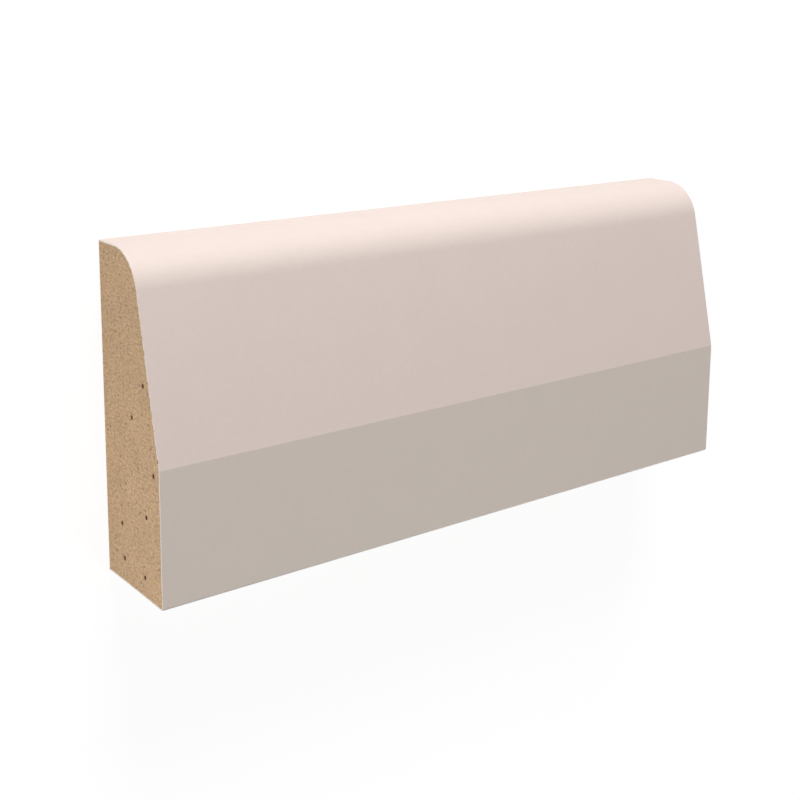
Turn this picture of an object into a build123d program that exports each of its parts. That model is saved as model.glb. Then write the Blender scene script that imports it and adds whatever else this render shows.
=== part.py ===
from build123d import *
import os

# A short length of chamfered architrave moulding, lying on its flat back.
# X runs along the length, Y across the width and Z up through the thickness.
# The thick edge is at +Y and the rounded nose at -Y.
# The origin is the middle of the back, so the length and width are centred on it.

# Driving dimensions, in millimetres
length = 100.0
width = 44.0
thickness = 15.0
margin_width = 18.0  # plain flat strip of the face, beside the thick edge
chamfer_fall = 5.8  # how far the sloping face comes down by the nose edge
nose_radius = 6.2  # round between the sloping face and the nose edge
arris_radius = 0.3  # easing of the thick edge's front corner

# Places in the section, across the width and up from the back
thick_edge = width / 2
nose_edge = -width / 2
chamfer_line = thick_edge - margin_width
nose_height = thickness - chamfer_fall

with BuildPart() as architrave:
    # The section, seen from the +X end: the machined face is the upper run of the outline.
    with BuildSketch(Plane.YZ) as section:
        with BuildLine():
            Polyline(
                (nose_edge, 0),
                (thick_edge, 0),
                (thick_edge, thickness),
                (chamfer_line, thickness),
                (nose_edge, nose_height),
                close=True,
            )
        make_face()
        # The two corners at the nose edge are the leftmost, and the upper one is rounded.
        nose_corner = section.vertices().group_by(Axis.X)[0].sort_by(Axis.Y)[-1]
        fillet(nose_corner, radius=nose_radius)
        # The thick edge's two corners are the rightmost, and only the upper one is eased.
        front_corner = section.vertices().group_by(Axis.X)[-1].sort_by(Axis.Y)[-1]
        fillet(front_corner, radius=arris_radius)
    # The stock is run to this section and sawn square at both ends.
    extrude(amount=length / 2, both=True)

architrave.part.label = "architrave"

os.makedirs("parts", exist_ok=True)
export_step(architrave.part, "parts/architrave.step")
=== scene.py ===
# %% [markdown]
# # A short length of chamfered architrave
# An architrave is the flat trim that is nailed round a door or window to hide the joint between
# the lining and the wall. This one is MDF, a board of pressed wood fibre. A moulder has run one
# face to a plain margin, a long shallow chamfer and a rounded nose, the face and edges have been
# primed, and a saw has cut the length square at both ends, so that raw board shows there.
# The piece is one part with three finishes. It lies on its flat back. X runs along the length, Y
# across the width from the nose to the thick edge, and Z up through the thickness.

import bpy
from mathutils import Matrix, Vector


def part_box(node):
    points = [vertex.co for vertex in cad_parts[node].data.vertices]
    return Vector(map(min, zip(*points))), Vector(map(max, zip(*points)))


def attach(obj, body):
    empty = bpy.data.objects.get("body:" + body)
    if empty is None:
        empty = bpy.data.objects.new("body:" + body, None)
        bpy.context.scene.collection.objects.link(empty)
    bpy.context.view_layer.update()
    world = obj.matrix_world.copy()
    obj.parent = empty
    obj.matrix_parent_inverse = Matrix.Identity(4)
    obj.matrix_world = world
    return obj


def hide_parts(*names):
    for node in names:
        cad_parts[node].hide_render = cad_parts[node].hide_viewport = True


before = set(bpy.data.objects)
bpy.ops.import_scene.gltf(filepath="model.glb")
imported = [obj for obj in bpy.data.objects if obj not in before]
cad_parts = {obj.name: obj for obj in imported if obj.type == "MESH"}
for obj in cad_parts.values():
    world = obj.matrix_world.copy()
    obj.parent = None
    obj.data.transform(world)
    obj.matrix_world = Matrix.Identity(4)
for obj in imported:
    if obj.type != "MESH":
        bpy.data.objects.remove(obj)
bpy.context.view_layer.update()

# %% [markdown]
# ## The camera
# The photograph was taken from close by, with the piece stood up on its thick edge. Here the same
# piece lies on its back, so the same view is had by a camera that looks down on it and is rolled
# until the nose is at the top of the picture. Aiming a camera by hand takes three things: where it
# stands, the point that it looks at, and its roll about the line between them. A small downward
# shift keeps the upright edges close to parallel, as a view camera does.

# %% Place the camera
import math
import bpy
from mathutils import Quaternion, Vector

MM = 0.001
camera_place = Vector((119.2, -52.9, 153.8)) * MM
camera_target = Vector((11.9, -19.7, 12.0)) * MM
camera_roll = math.radians(104.1)

camera_data = bpy.data.cameras.new("camera")
camera_data.lens = 60.3
camera_data.shift_y = -0.2
camera_data.clip_start = 10 * MM
camera = bpy.data.objects.new("camera", camera_data)
bpy.context.scene.collection.objects.link(camera)
camera.location = camera_place
camera.rotation_mode = "QUATERNION"
unrolled = (camera_target - camera_place).to_track_quat("-Z", "Y")
camera.rotation_quaternion = unrolled @ Quaternion((0, 0, 1), camera_roll)
bpy.context.scene.camera = camera
print("camera", round((camera_target - camera_place).length / MM), "mm from the point it looks at")

# %% [markdown]
# ## The sizes of the section
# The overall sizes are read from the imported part, so the visible piece can't drift from it. The
# rest are what a moulder's drawing would give. The two ends of the nose's round follow from them:
# a round that turns through an angle starts on each straight side at its radius times the tangent
# of half that angle from the corner it replaces.

# %% Work out the section
low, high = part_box("architrave")
half_length = high.x
nose_edge, thick_edge = low.y, high.y
thickness = high.z
margin_width = 18.0 * MM
chamfer_fall = 5.8 * MM
nose_radius = 6.2 * MM
front_arris = 0.3 * MM
back_arris = 0.15 * MM

chamfer_line = thick_edge - margin_width
nose_height = thickness - chamfer_fall
slope = math.atan2(chamfer_fall, chamfer_line - nose_edge)
nose_turn = math.pi / 2 - slope
nose_tangent = nose_radius * math.tan(nose_turn / 2)
round_foot = (nose_edge, nose_height - nose_tangent)
round_head = (nose_edge + nose_tangent * math.cos(slope), nose_height + nose_tangent * math.sin(slope))
print("slope", round(math.degrees(slope), 1), "degrees, nose flat", round(round_foot[1] / MM, 2), "mm high")

# %% [markdown]
# ## Picking by place
# Every modelling operator acts on all that is selected. By hand one clicks the edge that is meant.
# A script asks for it by its place or by the way it faces, and starts with nothing selected. Faces
# that are hidden are left alone by every operator, which is how one region at a time is worked on.

# %% Helpers that select
import bmesh

CLOSE = 0.001 * MM


def start_clean():
    """Go back to object mode with nothing selected."""
    if bpy.context.object and bpy.context.object.mode != "OBJECT":
        bpy.ops.object.mode_set(mode="OBJECT")
    bpy.ops.object.select_all(action="DESELECT")


def pick(piece, kind, test):
    """In edit mode, select the visible verts, edges or faces that pass the test, and count them."""
    bpy.ops.mesh.select_mode(type=kind)
    bpy.ops.mesh.select_all(action="DESELECT")
    mesh = bmesh.from_edit_mesh(piece.data)
    everything = {"VERT": mesh.verts, "EDGE": mesh.edges, "FACE": mesh.faces}[kind]
    chosen = [item for item in everything if not item.hide and test(item)]
    for item in chosen:
        item.select_set(True)
    mesh.select_flush_mode()
    bmesh.update_edit_mesh(piece.data)
    return len(chosen)


def show_only(piece, test):
    """Hide every face that doesn't pass the test."""
    bpy.ops.mesh.reveal(select=False)
    pick(piece, "FACE", test)
    bpy.ops.mesh.hide(unselected=True)


def runs_at(y, z):
    """A test for the long edge that runs along X at this place in the section."""
    return lambda edge: all(abs(v.co.y - y) < CLOSE and abs(v.co.z - z) < CLOSE for v in edge.verts)


# %% [markdown]
# ## Running the section
# A moulding is a section drawn out along a line, so it can be modelled by walking round its
# outline: the flat of the nose is a plane, the round is spun from its upper edge, and the chamfer,
# margin, thick edge and back are pulled out one after the other until the outline closes. Spinning
# gives a true arc that runs tangent into the chamfer, which is what makes the nose look moulded
# and not sanded. The thick edge's front corner is eased, as the photograph shows. The two corners
# of the back are eased by half as much, since no real board keeps a perfect point there.

# %% Walk round the outline
NOSE_STEPS = 24
ARRIS_STEPS = 3


def pull_edge(piece, start, end):
    """Extrude the long edge at one corner of the section to the next corner."""
    pick(piece, "EDGE", runs_at(*start))
    step = (0, end[0] - start[0], end[1] - start[1])
    bpy.ops.mesh.extrude_region_move(TRANSFORM_OT_translate={"value": step})


def spin_edge(piece, start, centre, turn, steps):
    """Turn the long edge at one corner of the section about a centre line, leaving an arc."""
    pick(piece, "EDGE", runs_at(*start))
    bpy.ops.mesh.spin(steps=steps, angle=turn, center=(0, *centre), axis=(1, 0, 0))


def ease_corner(piece, start, centre):
    """Spin a small quarter round in place of a square corner."""
    spin_edge(piece, start, centre, math.pi / 2, ARRIS_STEPS)


start_clean()
flat_height = round_foot[1] - back_arris
bpy.ops.mesh.primitive_plane_add(
    size=1,
    location=(0, nose_edge, back_arris + flat_height / 2),
    rotation=(math.pi / 2, 0, 0),
)
piece = bpy.context.object
piece.name = "primed_architrave"
piece.scale = (2 * half_length, flat_height, 1)
bpy.ops.object.transform_apply(location=True, rotation=True, scale=True)
bpy.ops.object.mode_set(mode="EDIT")

margin_start = (chamfer_line, thickness)
margin_end = (thick_edge - front_arris, thickness)
thick_head = (thick_edge, thickness - front_arris)
thick_foot = (thick_edge, back_arris)
back_start = (thick_edge - back_arris, 0)
back_end = (nose_edge + back_arris, 0)
spin_edge(piece, round_foot, (nose_edge + nose_radius, round_foot[1]), nose_turn, NOSE_STEPS)
pull_edge(piece, round_head, margin_start)
pull_edge(piece, margin_start, margin_end)
ease_corner(piece, margin_end, (margin_end[0], thick_head[1]))
pull_edge(piece, thick_head, thick_foot)
ease_corner(piece, thick_foot, (back_start[0], thick_foot[1]))
pull_edge(piece, back_start, back_end)
ease_corner(piece, back_end, (back_end[0], back_arris))
bpy.ops.mesh.select_all(action="SELECT")
bpy.ops.mesh.remove_doubles(threshold=CLOSE)
print("the outline has", len(bmesh.from_edit_mesh(piece.data).faces), "sides")

# %% [markdown]
# ## The sawn ends and the three finishes
# The saw leaves a flat face right across the section, primer and all, so each open end is filled
# with one face. A narrow inset round it gives the mesh a rim to carry the cut edge of the primer
# film. The rim is wider than the eased corners of the back, so at each of them it folds over itself
# in a face too small to see. Then each region gets the name of its finish. The nodes of the
# finishes come later, and a face that is cut up after this keeps the finish it has.

# %% Close the ends and name the finishes
RIM = 0.3 * MM
NEARLY_ALONG_X = 0.9
NEARLY_DOWN = -0.99


def on_end(side):
    """A test for the edges that lie in the plane of one sawn end."""
    return lambda edge: all(abs(v.co.x - side * half_length) < CLOSE for v in edge.verts)


def is_sawn(face):
    """A test for the faces of the two sawn ends, which look along X."""
    return abs(face.normal.x) > NEARLY_ALONG_X


def is_back(face):
    """A test for the face that the piece lies on."""
    return face.normal.z < NEARLY_DOWN


def give_finish(piece, finish):
    """Give the selected faces one of the piece's finishes."""
    piece.active_material_index = piece.data.materials.find(finish)
    bpy.ops.object.material_slot_assign()


for side in (-1, 1):
    pick(piece, "EDGE", on_end(side))
    bpy.ops.mesh.edge_face_add()
bpy.ops.mesh.select_all(action="SELECT")
bpy.ops.mesh.normals_make_consistent(inside=False)
pick(piece, "FACE", is_sawn)
bpy.ops.mesh.inset(thickness=RIM)

for finish in ("primer", "sawn_mdf", "sanded_back"):
    piece.data.materials.append(bpy.data.materials.new(finish))
pick(piece, "FACE", is_sawn)
give_finish(piece, "sawn_mdf")
pick(piece, "FACE", is_back)
give_finish(piece, "sanded_back")
print("volume", round(bmesh.from_edit_mesh(piece.data).calc_volume() / MM**3), "cubic mm")

# %% [markdown]
# ## A mesh fine enough for real relief
# The smallest pits in the sawn board are under half a millimetre across, and the primer's texture
# on the nose is about one. To hold them in the shape itself, the faces need vertices that close
# together. Bisecting by evenly spaced planes gives a square mesh that follows any outline. The
# round is already fine across, so it is hidden while the flats are cut. The raw board inside the
# rims is then cut once more, halfway between the first cuts.

# %% Bisect into a fine mesh
LENGTH_CELL = 0.5 * MM
WIDTH_CELL = 0.4 * MM
X_AXIS, Y_AXIS, Z_AXIS = Vector((1, 0, 0)), Vector((0, 1, 0)), Vector((0, 0, 1))


def slice_up(axis, start, end, cell, shift=0.0):
    """Bisect what is visible by planes about a cell apart. A shift of 0.5 cuts between them."""
    count = round((end - start) / cell)
    for number in range(count):
        place = start + (end - start) * (number + shift) / count
        bpy.ops.mesh.select_all(action="SELECT")
        bpy.ops.mesh.bisect(plane_co=axis * place, plane_no=axis)


def on_nose_round(face):
    """A test for the faces of the nose's round."""
    middle = face.calc_center_median()
    return middle.y < round_head[0] and middle.z > round_foot[1] and not is_sawn(face)


def inside_rim(face):
    """A test for the raw faces of the ends, away from their outline."""
    on_rim = any(not is_sawn(other) for vert in face.verts for other in vert.link_faces)
    return is_sawn(face) and not on_rim


slice_up(X_AXIS, -half_length, half_length, LENGTH_CELL)
show_only(piece, lambda face: not on_nose_round(face))
slice_up(Y_AXIS, nose_edge, thick_edge, WIDTH_CELL)
slice_up(Z_AXIS, 0, thickness, WIDTH_CELL)
show_only(piece, inside_rim)
slice_up(Y_AXIS, nose_edge, thick_edge, WIDTH_CELL, shift=0.5)
slice_up(Z_AXIS, 0, thickness, WIDTH_CELL, shift=0.5)
mesh = bmesh.from_edit_mesh(piece.data)
print("faces", len(mesh.faces), "open edges", sum(edge.is_boundary for edge in mesh.edges))

# %% [markdown]
# ## Pits in the raw board
# The core of MDF is loose, and the saw pulls small bundles of fibre out of it. Each leaves a pit
# with dark sides. By hand one would take a vertex and push it into the board with proportional
# editing on, so that its neighbours follow and leave a small funnel. Many vertices can be pushed
# at once, so there is one push for each size of pit. The large pits on the +X end are where the
# photograph shows them. The rest are drawn at random with a fixed seed, and most of them lie
# toward the thick edge, as they do on the real end.

# %% Push the pits in
import random

PIT_SEED = 7
NOSE_SIDE_CHANCE = 0.25
PIT_SIZES = ((90, 0.10 * MM, 0.22 * MM), (24, 0.16 * MM, 0.36 * MM))
LARGE_DEPTH, LARGE_REACH = 0.3 * MM, 0.5 * MM
UNDER_CHAMFER = ((-5.5, 10.9), (-0.8, 7.7))
UNDER_MARGIN = ((5.3, 13.2), (14.3, 4.1), (11.2, 10.9), (18.8, 4.4), (19.3, 10.2))
LARGE_PITS = UNDER_CHAMFER + UNDER_MARGIN
chance = random.Random(PIT_SEED)


def raw_verts_of(side):
    """The vertices of one sawn end that lie well inside its outline, nose side first."""
    mesh = bmesh.from_edit_mesh(piece.data)
    on_side = [vert for vert in mesh.verts if not vert.hide and vert.co.x * side > 0]
    inner = [vert for vert in on_side if all(map(inside_rim, vert.link_faces))]
    return sorted(inner, key=lambda vert: (round(vert.co.y / CLOSE), vert.co.z))


def draw(verts, count):
    """Draw some vertices at random, with a smaller chance for those on the nose's side."""
    chances = [NOSE_SIDE_CHANCE if vert.co.y < 0 else 1.0 for vert in verts]
    return set(chance.choices(verts, weights=chances, k=count))


def nearest(verts, side, y, z):
    """The vertex of one end that is nearest to a place in the section, given in millimetres."""
    place = Vector((side * half_length, y * MM, z * MM))
    return min(verts, key=lambda vert: (vert.co - place).length)


def push_in(side, chosen, depth, reach):
    """Push vertices into one end. Their neighbours within reach follow."""
    pick(piece, "VERT", lambda vert: vert in chosen)
    bpy.ops.transform.translate(
        value=(-side * depth, 0, 0),
        use_proportional_edit=True,
        proportional_edit_falloff="SMOOTH",
        proportional_size=reach,
    )


for side in (1, -1):
    for count, depth, reach in PIT_SIZES:
        push_in(side, draw(raw_verts_of(side), count), depth, reach)
    if side == 1:
        largest = {nearest(raw_verts_of(side), side, y, z) for y, z in LARGE_PITS}
    else:
        largest = draw(raw_verts_of(side), len(LARGE_PITS))
    push_in(side, largest, LARGE_DEPTH, LARGE_REACH)
print("pits drawn for each end", sum(count for count, _, _ in PIT_SIZES) + len(LARGE_PITS))

# %% [markdown]
# ## Crisp and soft edges
# Smooth shading blends the light across every edge, which is right for the round of the nose and
# wrong for the chamfer line and the saw cuts. Those are marked sharp, so that the light changes
# at once, as it does on the real moulding.

# %% Mark the crisp edges and shade the rest smooth
def on_saw_cut(edge):
    """A test for the edges where a sawn end meets the faces that run along the piece."""
    kinds = {is_sawn(face) for face in edge.link_faces}
    return len(kinds) == 2 and any(on_end(side)(edge) for side in (-1, 1))


bpy.ops.mesh.reveal(select=False)
saw_cut_edges = pick(piece, "EDGE", on_saw_cut)
bpy.ops.mesh.mark_sharp()
chamfer_edges = pick(piece, "EDGE", runs_at(chamfer_line, thickness))
bpy.ops.mesh.mark_sharp()
start_clean()
piece.select_set(True)
bpy.context.view_layer.objects.active = piece
bpy.ops.object.shade_smooth(keep_sharp_edges=True)
print("crisp edges", saw_cut_edges, "round the saw cuts and", chamfer_edges, "on the chamfer line")

# %% [markdown]
# ## Where the relief goes
# Pressed board is hard at its faces and loose in its core. The margin is the board's own face, so
# primer lies smooth on it. The further a cutter goes in, the more open the fibre it leaves, so the
# nose and the edges dry with a pebbled coat. A vertex group holds that as a weight that grows with
# depth and fades again toward the back. The ends have their own group, and an attribute marks the
# line of the saw cut, where the primer film ends.

# %% Weigh the vertices
CLOSED_DEPTH = 3.5 * MM
OPEN_DEPTH = 6.5 * MM
BACK_SKIN = 2 * MM
LEAST_OPEN = 0.1
OUTLINE_SHARE = 0.5


def open_fibre(height):
    """How open the cut fibre is at a height above the back, from 0 to 1."""
    from_front = LEAST_OPEN + (thickness - height - CLOSED_DEPTH) / (OPEN_DEPTH - CLOSED_DEPTH)
    from_back = height / BACK_SKIN
    return max(LEAST_OPEN, min(from_front, 1.0)) * min(from_back, 1.0)


raw_board = piece.data.materials.find("sawn_mdf")
raw_faces = [face for face in piece.data.polygons if face.material_index == raw_board]
side_faces = [face for face in piece.data.polygons if face.material_index != raw_board]
raw_verts = {index for face in raw_faces for index in face.vertices}
side_verts = {index for face in side_faces for index in face.vertices}
outline_verts = raw_verts & side_verts

moulded = piece.vertex_groups.new(name="open_fibre")
for index in side_verts:
    moulded.add([index], open_fibre(piece.data.vertices[index].co.z), "REPLACE")
sawn = piece.vertex_groups.new(name="sawn")
sawn.add(list(raw_verts - outline_verts), 1.0, "REPLACE")
sawn.add(list(outline_verts), OUTLINE_SHARE, "REPLACE")

saw_cut = piece.data.attributes.new("saw_cut", "FLOAT", "POINT")
for index in outline_verts:
    primed = piece.data.vertices[index].co.z > back_arris / 2
    saw_cut.data[index].value = 1.0 if primed else 0.0
print("vertices on the ends", len(raw_verts), "and on the moulded faces", len(side_verts))

# %% [markdown]
# ## Relief in the shape
# A Displace modifier moves each vertex by the grey of a procedural texture times its weight. Its
# mid level is 1, so the relief is pressed in and never built up, and the piece keeps its full size
# at the highest points, as a sanded or sawn thing does. Only in the folds of the rim do a few
# vertices face the wrong way and come out by 0.02 mm. The heights are real ones, at most a few
# hundredths of a millimetre, for the primer's texture and for the torn fibre alike.

# %% Displace and apply
def add_relief(name, group, grain, height):
    """Press a cloudy relief into the vertices of a group and apply it."""
    clouds = bpy.data.textures.new(name, "CLOUDS")
    clouds.noise_scale = grain
    clouds.noise_depth = 1
    relief = piece.modifiers.new(name, "DISPLACE")
    relief.texture = clouds
    relief.texture_coords = "LOCAL"
    relief.vertex_group = group
    relief.strength = height
    relief.mid_level = 1.0
    bpy.ops.object.modifier_apply(modifier=name)


add_relief("primer_pebble", "open_fibre", grain=1.4 * MM, height=0.045 * MM)
add_relief("primer_flow", "open_fibre", grain=6 * MM, height=0.03 * MM)
add_relief("torn_fibre", "sawn", grain=0.5 * MM, height=0.05 * MM)
size_now = [2 * max(abs(v.co[axis]) for v in piece.data.vertices) / MM for axis in (0, 1)]
print("length and width after relief", [round(side, 3) for side in size_now], "mm")

# %% [markdown]
# ## Building finishes out of nodes
# A finish is a small recipe: where on the surface a point is, a pattern there, and what that
# pattern does to colour, gloss and height. A few short helpers keep each recipe readable. Colours
# are written as a picture editor shows them and turned into the linear values that shaders use.

# %% Helpers that place and wire nodes
def feed(tree, node, values):
    """Give a node's inputs their values. A value that is another node's output is linked."""
    for name, value in values.items():
        if isinstance(value, bpy.types.NodeSocket):
            tree.links.new(value, node.inputs[name])
        else:
            node.inputs[name].default_value = value
    return node


def add(tree, kind, inputs=None, **settings):
    """Add a shader node, set it up and feed its inputs. Returns the node."""
    node = tree.nodes.new("ShaderNode" + kind)
    for name, value in settings.items():
        setattr(node, name, value)
    return feed(tree, node, inputs or {})


def object_place(tree):
    """Where on the piece a point is. Returns the socket."""
    return add(tree, "TexCoord").outputs["Object"]


def object_axes(tree):
    """The three coordinates of a point on the piece. Returns the sockets X, Y and Z."""
    return add(tree, "SeparateXYZ", {0: object_place(tree)}).outputs


def sums(tree, operation, first, second=0.0, third=0.0):
    """One step of arithmetic. Returns the socket with the answer."""
    node = add(tree, "Math", {0: first, 1: second, 2: third}, operation=operation)
    return node.outputs[0]


def ramp(tree, value, low, high, low_out=0.0, high_out=1.0):
    """Turn the stretch from low to high into the stretch from low_out to high_out."""
    limits = {"Value": value, "From Min": low, "From Max": high, "To Min": low_out, "To Max": high_out}
    return add(tree, "MapRange", limits).outputs["Result"]


# %% Helpers for colour
MIX_FACTOR, MIX_FIRST, MIX_SECOND, MIX_RESULT = 0, 6, 7, 2


def paint(red, green, blue):
    """A colour given as 0 to 255, in the linear values of a shader."""
    shares = (level / 255 for level in (red, green, blue))
    linear = (s / 12.92 if s <= 0.04045 else ((s + 0.055) / 1.055) ** 2.4 for s in shares)
    return (*linear, 1.0)


def blend(tree, amount, first, second):
    """Go from the first colour to the second by an amount. Returns the colour's socket."""
    colours = {MIX_FACTOR: amount, MIX_FIRST: first, MIX_SECOND: second}
    return add(tree, "Mix", colours, data_type="RGBA").outputs[MIX_RESULT]


def fleck(tree, base, mask, colour, share):
    """Lay a colour over the base where the mask is 1, as strongly as the share says."""
    return blend(tree, sums(tree, "MULTIPLY", mask, share), base, colour)


def shade(tree, colour, level):
    """Make a colour lighter or darker by a level around 1. Returns the colour's socket."""
    return add(tree, "VectorMath", {0: colour, "Scale": level}, operation="SCALE").outputs[0]


# %% [markdown]
# ## Groups that several finishes share
# Cloudiness, fibre and a ragged border turn up in more than one finish, each time with other
# sizes. Each is made once as a group, with its sizes as inputs, and is placed in every material
# that needs it. Sizes are in metres, like everything else in the scene. Cloudiness is a level that
# wanders a little above and below 1, for a colour to be multiplied by.

# %% The group for cloudiness
NOISE_LOW, NOISE_HIGH = 0.25, 0.75


def new_group(name, inputs, outputs):
    """An empty node group with named inputs and outputs. Returns it with its two end nodes."""
    group = bpy.data.node_groups.new(name, "ShaderNodeTree")
    for title, start in inputs.items():
        kind = "NodeSocketVector" if isinstance(start, tuple) else "NodeSocketFloat"
        socket = group.interface.new_socket(title, in_out="INPUT", socket_type=kind)
        socket.default_value = start
    for title in outputs:
        group.interface.new_socket(title, in_out="OUTPUT", socket_type="NodeSocketFloat")
    return group, group.nodes.new("NodeGroupInput").outputs, group.nodes.new("NodeGroupOutput").inputs


def place_group(tree, group, values):
    """Put a group into a material with its own values. Returns its outputs."""
    return add(tree, "Group", values, node_tree=group).outputs


def add_noise(tree, size, detail):
    """Noise whose clouds are about as large as the size, in metres. Returns its socket."""
    place = object_place(tree)
    scale = sums(tree, "DIVIDE", 1.0, size)
    return add(tree, "TexNoise", {"Vector": place, "Scale": scale, "Detail": detail}).outputs[0]


cloud_inputs = {"Size": 5 * MM, "Strength": 0.02}
cloudiness, given, result = new_group("cloudiness", cloud_inputs, ["Level", "Height"])
noise = add_noise(cloudiness, given["Size"], detail=2.0)
up_and_down = ramp(cloudiness, noise, NOISE_LOW, NOISE_HIGH, -1.0, 1.0)
swing = sums(cloudiness, "MULTIPLY", up_and_down, given["Strength"])
cloudiness.links.new(sums(cloudiness, "ADD", 1.0, swing), result["Level"])
cloudiness.links.new(noise, result["Height"])
print(cloudiness.name, "has", len(cloudiness.nodes), "nodes")

# %% [markdown]
# Fibre is cloudiness that has been stretched. The object's coordinates are divided by the size of
# one fleck along each axis, so a fleck that is long in Y and short in Z takes two different
# numbers. The palest and darkest parts of the pattern are put out as two masks. The more of the
# surface they cover, the nearer their edges come to the middle of the noise.

# %% The group for fibre
NO_COVER, COVER_STEP, FLECK_BLUR = 0.7, 0.4, 0.12

fibre_inputs = {"Fleck": (MM, MM, MM), "Cover": 0.4}
fibre, given, result = new_group("fibre", fibre_inputs, ["Pale", "Dark", "Height"])
stretched = add(fibre, "VectorMath", {0: object_place(fibre), 1: given["Fleck"]}, operation="DIVIDE")
matted = {"Vector": stretched.outputs[0], "Scale": 1.0, "Detail": 3.0, "Roughness": 0.6, "Distortion": 0.4}
noise = add(fibre, "TexNoise", matted).outputs[0]
pale_edge = sums(fibre, "SUBTRACT", NO_COVER, sums(fibre, "MULTIPLY", given["Cover"], COVER_STEP))
pale_full = sums(fibre, "ADD", pale_edge, FLECK_BLUR)
fibre.links.new(ramp(fibre, noise, pale_edge, pale_full), result["Pale"])
dark_edge = sums(fibre, "SUBTRACT", 1.0, pale_edge)
dark_full = sums(fibre, "SUBTRACT", dark_edge, FLECK_BLUR)
fibre.links.new(ramp(fibre, noise, dark_edge, dark_full), result["Dark"])
fibre.links.new(noise, result["Height"])
print(fibre.name, "has", len(fibre.nodes), "nodes")

# %% [markdown]
# Primer never ends in a clean line. Where a film is cut by the saw it is torn by tiny amounts, and
# where spray drifts over an edge it fades in specks. Both are a smooth distance that a noise makes
# ragged before it is cut off at one half.

# %% The group for a ragged border
HALF = 0.5

ragged_inputs = {"Distance": 0.0, "Size": MM, "Raggedness": 0.5, "Softness": 0.1}
ragged, given, result = new_group("ragged_border", ragged_inputs, ["Mask"])
noise = add_noise(ragged, given["Size"], detail=3.0)
tear = sums(ragged, "MULTIPLY", sums(ragged, "SUBTRACT", noise, HALF), given["Raggedness"])
torn = sums(ragged, "ADD", given["Distance"], tear)
low_edge = sums(ragged, "SUBTRACT", HALF, given["Softness"])
high_edge = sums(ragged, "ADD", HALF, given["Softness"])
ragged.links.new(ramp(ragged, torn, low_edge, high_edge), result["Mask"])
print(ragged.name, "has", len(ragged.nodes), "nodes")

# %% [markdown]
# ## The primer
# Moulding primer is a thin, pale, slightly pink coat with a low satin sheen. On the flat margin
# it is painted a touch greyer and darker, as painted shade for the shallow light that falls there.
# Its colour hardly varies, so the cloudiness is weak. The pebbled texture is in the mesh, and a
# bump adds the finest grain on top of it, with the same growth with depth. The object's own height
# above the back says how deep the cutter went. At the saw cut a few chips of the film have come
# off, and the board shows.

# %% Make the primer
PRIMER_ON_SLOPE = paint(231, 215, 207)
# The primer with painted shade, greyer and darker, for the flat margin.
PRIMER_SHADED_ON_MARGIN = paint(225, 213, 203)
BOARD_TAN = paint(205, 172, 136)
LINE_BLUR = 0.05 * MM
CHIP_RARITY = 0.75
GRAIN_LOW, GRAIN_HIGH = 0.3, 0.7
SHEEN_LOW, SHEEN_HIGH = 0.54, 0.58


def start_material(name):
    """Empty one of the piece's materials and wire a new surface shader to its output."""
    material = bpy.data.materials[name]
    material.use_nodes = True
    tree = material.node_tree
    tree.nodes.clear()
    surface = add(tree, "BsdfPrincipled")
    add(tree, "OutputMaterial", {"Surface": surface.outputs[0]})
    return tree, surface


def add_bump(tree, height, distance):
    """A bump that stands as high as the distance says, in metres. Returns its normal."""
    return add(tree, "Bump", {"Height": height, "Distance": distance}).outputs["Normal"]


def nearness_to_cut(tree):
    """One on the outline of the saw cut, falling to nought at the next vertices."""
    return add(tree, "Attribute", attribute_name="saw_cut").outputs["Fac"]


tree, surface = start_material("primer")
axes = object_axes(tree)
# A mask for the flat margin, where painted shade goes into the primer's colour.
margin_shade_mask = ramp(tree, axes["Y"], chamfer_line - LINE_BLUR, chamfer_line + LINE_BLUR)
depth = ramp(tree, axes["Z"], thickness - CLOSED_DEPTH, thickness - OPEN_DEPTH, LEAST_OPEN, 1.0)
broad = place_group(tree, cloudiness, {"Size": 7 * MM, "Strength": 0.008})
grain = place_group(tree, cloudiness, {"Size": 0.7 * MM, "Strength": 0.012})
# Painted shade: the margin takes the greyer, darker primer.
coat = blend(tree, margin_shade_mask, PRIMER_ON_SLOPE, PRIMER_SHADED_ON_MARGIN)
coat = shade(tree, coat, broad["Level"])
coat = shade(tree, coat, grain["Level"])
chip_reach = sums(tree, "SUBTRACT", nearness_to_cut(tree), CHIP_RARITY)
chips = {"Distance": chip_reach, "Size": 0.5 * MM, "Raggedness": 1.6}
coat = blend(tree, place_group(tree, ragged, chips)["Mask"], coat, BOARD_TAN)
relief = sums(tree, "MULTIPLY", grain["Height"], depth)
primer = {
    "Base Color": coat,
    "Roughness": ramp(tree, grain["Height"], GRAIN_LOW, GRAIN_HIGH, SHEEN_LOW, SHEEN_HIGH),
    "Specular IOR Level": 0.4,
    "Normal": add_bump(tree, relief, distance=0.03 * MM),
}
feed(tree, surface, primer)
print("the primer takes", len(tree.nodes), "nodes")

# %% [markdown]
# ## The sawn board
# A sawn end of MDF is tan felt: fine fibre ends, paler and darker, with a few dark bundles. The
# flecks here are short and a little longer through the thickness, the way the blade went. The
# photograph's end is slightly darker toward the nose. A pit is dark because little light reaches
# its bottom, so painted shade darkens the colour by how far a point lies below the plane of the
# saw cut. The rim's attribute lets the primer film show round the edge, painted paler than the
# primer as a painted highlight along the cut.

# %% Make the sawn board
BOARD_PALE = paint(226, 200, 166)
BOARD_DARK = paint(120, 84, 52)
# Painted shade for the bottoms of the pits.
PAINTED_PIT_SHADE = paint(66, 42, 24)
# The cut primer film, painted paler than the primer itself as a painted highlight on the rim.
CUT_FILM_WITH_HIGHLIGHT = paint(242, 233, 226)
PALE_SHARE, DARK_SHARE, BUNDLE_SHARE = 0.6, 0.35, 0.55
NOSE_LEVEL = 0.93
DARKEST_AT, FULL_AT = -10 * MM, 4 * MM
PIT_SHALLOW, PIT_DEEP = 0.07 * MM, 0.2 * MM
FILM_EXTRA = 0.12

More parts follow.
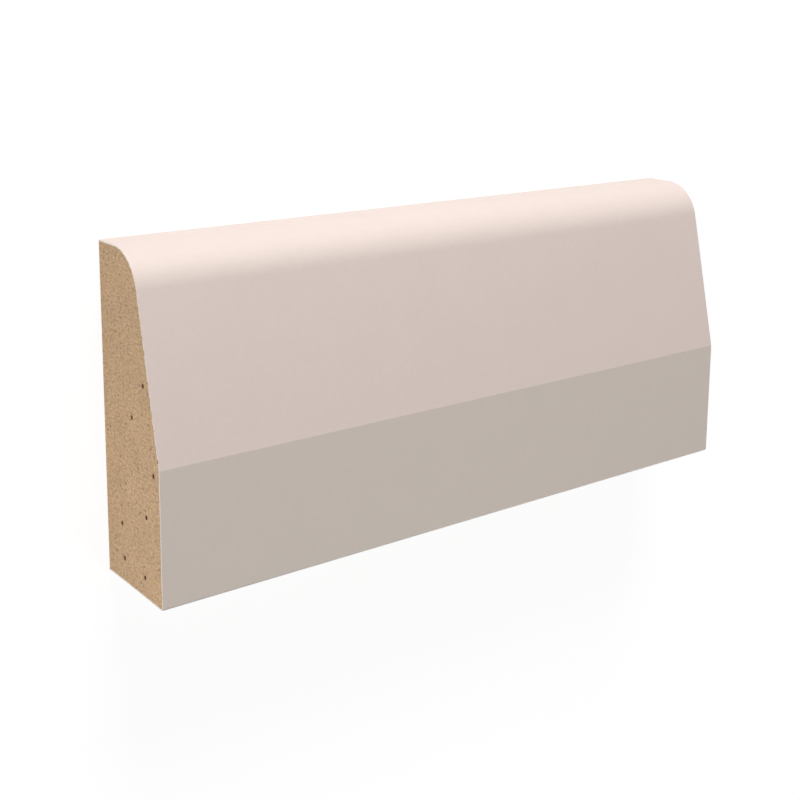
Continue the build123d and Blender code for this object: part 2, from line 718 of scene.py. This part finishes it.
tree, surface = start_material("sawn_mdf")
axes = object_axes(tree)
fine = place_group(tree, fibre, {"Fleck": (0.4 * MM, 0.3 * MM, 0.5 * MM), "Cover": 0.45})
bundles = place_group(tree, fibre, {"Fleck": (0.6 * MM, 0.4 * MM, 0.6 * MM), "Cover": 0.2})
broad = place_group(tree, cloudiness, {"Size": 4 * MM, "Strength": 0.05})
felt = fleck(tree, BOARD_TAN, fine["Pale"], BOARD_PALE, PALE_SHARE)
felt = fleck(tree, felt, fine["Dark"], BOARD_DARK, DARK_SHARE)
felt = fleck(tree, felt, bundles["Dark"], BOARD_DARK, BUNDLE_SHARE)
felt = shade(tree, felt, broad["Level"])
felt = shade(tree, felt, ramp(tree, axes["Y"], DARKEST_AT, FULL_AT, NOSE_LEVEL, 1.0))
below_cut = sums(tree, "SUBTRACT", half_length, sums(tree, "ABSOLUTE", axes["X"]))
# Painted shade: the deeper a point lies below the saw cut, the darker it is painted.
felt = blend(tree, ramp(tree, below_cut, PIT_SHALLOW, PIT_DEEP), felt, PAINTED_PIT_SHADE)
film_reach = sums(tree, "ADD", nearness_to_cut(tree), FILM_EXTRA)
# A mask for the cut primer film round the end, which also carries the painted highlight.
film_and_highlight = place_group(tree, ragged, {"Distance": film_reach, "Size": 0.4 * MM, "Raggedness": 0.5})["Mask"]
# Real film edge and painted highlight: the rim is painted paler than the primer.
felt = blend(tree, film_and_highlight, felt, CUT_FILM_WITH_HIGHLIGHT)
sawn_board = {
    "Base Color": felt,
    "Roughness": ramp(tree, film_and_highlight, 0.0, 1.0, low_out=0.92, high_out=0.6),
    "Specular IOR Level": 0.2,
    "Normal": add_bump(tree, fine["Height"], distance=0.06 * MM),
}
feed(tree, surface, sawn_board)
print("the sawn board takes", len(tree.nodes), "nodes")

# %% [markdown]
# ## The sanded back
# The back is the face of the board as the mill sanded it: pressed fibre lying flat in all
# directions, a shade paler than a sawn end and much smoother. Two fibre groups with their long
# axes crossed give that matted look. Primer drifts round the two long edges in the spray booth,
# so a ragged, speckled border of it lies on the back.

# %% Make the sanded back
MAT_PALE_SHARE, MAT_DARK_SHARE = 0.3, 0.12
DRIFT_WIDTH = 3 * MM

tree, surface = start_material("sanded_back")
lengthways = place_group(tree, fibre, {"Fleck": (1.6 * MM, 0.3 * MM, MM), "Cover": 0.3})
crossways = place_group(tree, fibre, {"Fleck": (0.35 * MM, 1.2 * MM, MM), "Cover": 0.3})
broad = place_group(tree, cloudiness, {"Size": 9 * MM, "Strength": 0.04})
mat = fleck(tree, BOARD_TAN, lengthways["Pale"], BOARD_PALE, MAT_PALE_SHARE)
mat = fleck(tree, mat, crossways["Pale"], BOARD_PALE, MAT_PALE_SHARE)
mat = fleck(tree, mat, crossways["Dark"], BOARD_DARK, MAT_DARK_SHARE)
mat = shade(tree, mat, broad["Level"])
from_middle = sums(tree, "ABSOLUTE", object_axes(tree)["Y"])
near_edge = ramp(tree, from_middle, thick_edge - DRIFT_WIDTH, thick_edge)
drift = {"Distance": near_edge, "Size": 0.8 * MM, "Raggedness": 1.6, "Softness": 0.25}
overspray = place_group(tree, ragged, drift)["Mask"]
mat = blend(tree, overspray, mat, PRIMER_ON_SLOPE)
flat_fibre = sums(tree, "ADD", lengthways["Height"], crossways["Height"])
sanded_back = {
    "Base Color": mat,
    "Roughness": ramp(tree, overspray, 0.0, 1.0, low_out=0.8, high_out=0.6),
    "Specular IOR Level": 0.25,
    "Normal": add_bump(tree, flat_fibre, distance=0.01 * MM),
}
feed(tree, surface, sanded_back)
print("the sanded back takes", len(tree.nodes), "nodes")

# %% [markdown]
# ## Say what the piece is
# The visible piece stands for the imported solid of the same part. It moves with the part's one
# body, and its three finishes together are what the record calls primed MDF.

# %% Hang the piece on the frame
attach(piece, "root")
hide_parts("architrave")
print(piece.name, "stands for the packed architrave")

# %% [markdown]
# ## The floor and the white studio
# The photograph's background is pure white. A floor that was lit to white would also throw so much
# light back that the part would wash out, so the white comes from emission that only the camera
# and mirror-like rays see. A small share of the floor is ordinary matt paint, which still takes
# the part's soft shadow, and to the light that bounces the floor is a mid grey. The emission grows
# with distance, so that the floor runs into the white of the world without a horizon line.

# %% Lay the floor
FLOOR_SIZE = 8
FLOOR_GAP = 0.05 * MM
SHADOW_SHARE = 0.25
FLOOR_BOUNCE = 0.5
GLOW_AT_PART = 0.86
GLOW_START, GLOW_FULL = 0.15, 0.6

start_clean()
bpy.ops.mesh.primitive_plane_add(size=FLOOR_SIZE, location=(0, 0, -FLOOR_GAP))
floor = bpy.context.object
floor.name = "floor"
bpy.ops.object.transform_apply(location=True)
floor.data.materials.append(bpy.data.materials.new("floor"))
print("the floor is", FLOOR_SIZE, "m wide")


# %% Paint the floor
def seen_directly(tree):
    """One for rays from the camera and for mirror and glass rays, and nought for light."""
    path = add(tree, "LightPath").outputs
    either = sums(tree, "MAXIMUM", path["Is Camera Ray"], path["Is Glossy Ray"])
    return sums(tree, "MAXIMUM", either, path["Is Transmission Ray"])


floor.data.materials[0].use_nodes = True
tree = floor.data.materials[0].node_tree
tree.nodes.clear()
seen = seen_directly(tree)
out_from_part = add(tree, "VectorMath", {0: object_place(tree)}, operation="LENGTH").outputs["Value"]
white = ramp(tree, out_from_part, GLOW_START, GLOW_FULL, GLOW_AT_PART, 1.0)
glow = add(tree, "Emission", {"Strength": sums(tree, "MULTIPLY", white, seen)})
matt_level = ramp(tree, seen, 0.0, 1.0, FLOOR_BOUNCE, SHADOW_SHARE)
matt_colour = add(tree, "CombineColor", {"Red": matt_level, "Green": matt_level, "Blue": matt_level})
matt = add(tree, "BsdfDiffuse", {"Color": matt_colour.outputs[0]})
both = add(tree, "AddShader", {0: glow.outputs[0], 1: matt.outputs[0]})
add(tree, "OutputMaterial", {"Surface": both.outputs[0]})
print("the floor glows from", GLOW_AT_PART, "at the part to 1 at", GLOW_FULL, "m")

# %% [markdown]
# ## The light
# One large soft lamp stands low on the nose's side. It strikes the top of the nose squarely, the
# chamfer at a slant and the margin at a shallow angle, and that alone draws the three bands of
# tone that make the profile readable. The world fills the shadows evenly. Two weaker lamps light
# the sawn ends and the thick edge. A soft lamp's brightness on white paint that faces it is its
# power over pi squared and the square of its distance, so each is set by the level it should give.

# %% Light the studio
WORLD_LEVEL = 0.2

world = bpy.data.worlds.new("studio")
bpy.context.scene.world = world
world.use_nodes = True
tree = world.node_tree
tree.nodes.clear()
level = ramp(tree, seen_directly(tree), 0.0, 1.0, WORLD_LEVEL, 1.0)
sky = add(tree, "Background", {"Color": (1, 1, 1, 1), "Strength": level})
add(tree, "OutputWorld", {"Surface": sky.outputs[0]})


def add_lamp(name, bearing, height, distance, size, level):
    """A soft round lamp aimed at the part. The bearing turns from +X to +Y, in degrees."""
    turn, rise = math.radians(bearing), math.radians(height)
    away = Vector((math.cos(turn) * math.cos(rise), math.sin(turn) * math.cos(rise), math.sin(rise)))
    lamp_data = bpy.data.lights.new(name, "AREA")
    lamp_data.shape = "DISK"
    lamp_data.size = size
    lamp_data.energy = level * (math.pi * distance) ** 2
    lamp = bpy.data.objects.new(name, lamp_data)
    bpy.context.scene.collection.objects.link(lamp)
    lamp.location = away * distance
    lamp.rotation_mode = "QUATERNION"
    lamp.rotation_quaternion = away.to_track_quat("Z", "Y")
    lamp.visible_camera = False


add_lamp("key", bearing=-90, height=20, distance=0.45, size=0.25, level=0.87)
add_lamp("end_fill", bearing=0, height=14, distance=0.6, size=0.3, level=0.5)
add_lamp("far_fill", bearing=130, height=12, distance=0.6, size=0.25, level=0.4)
bpy.context.scene.view_settings.view_transform = "Standard"
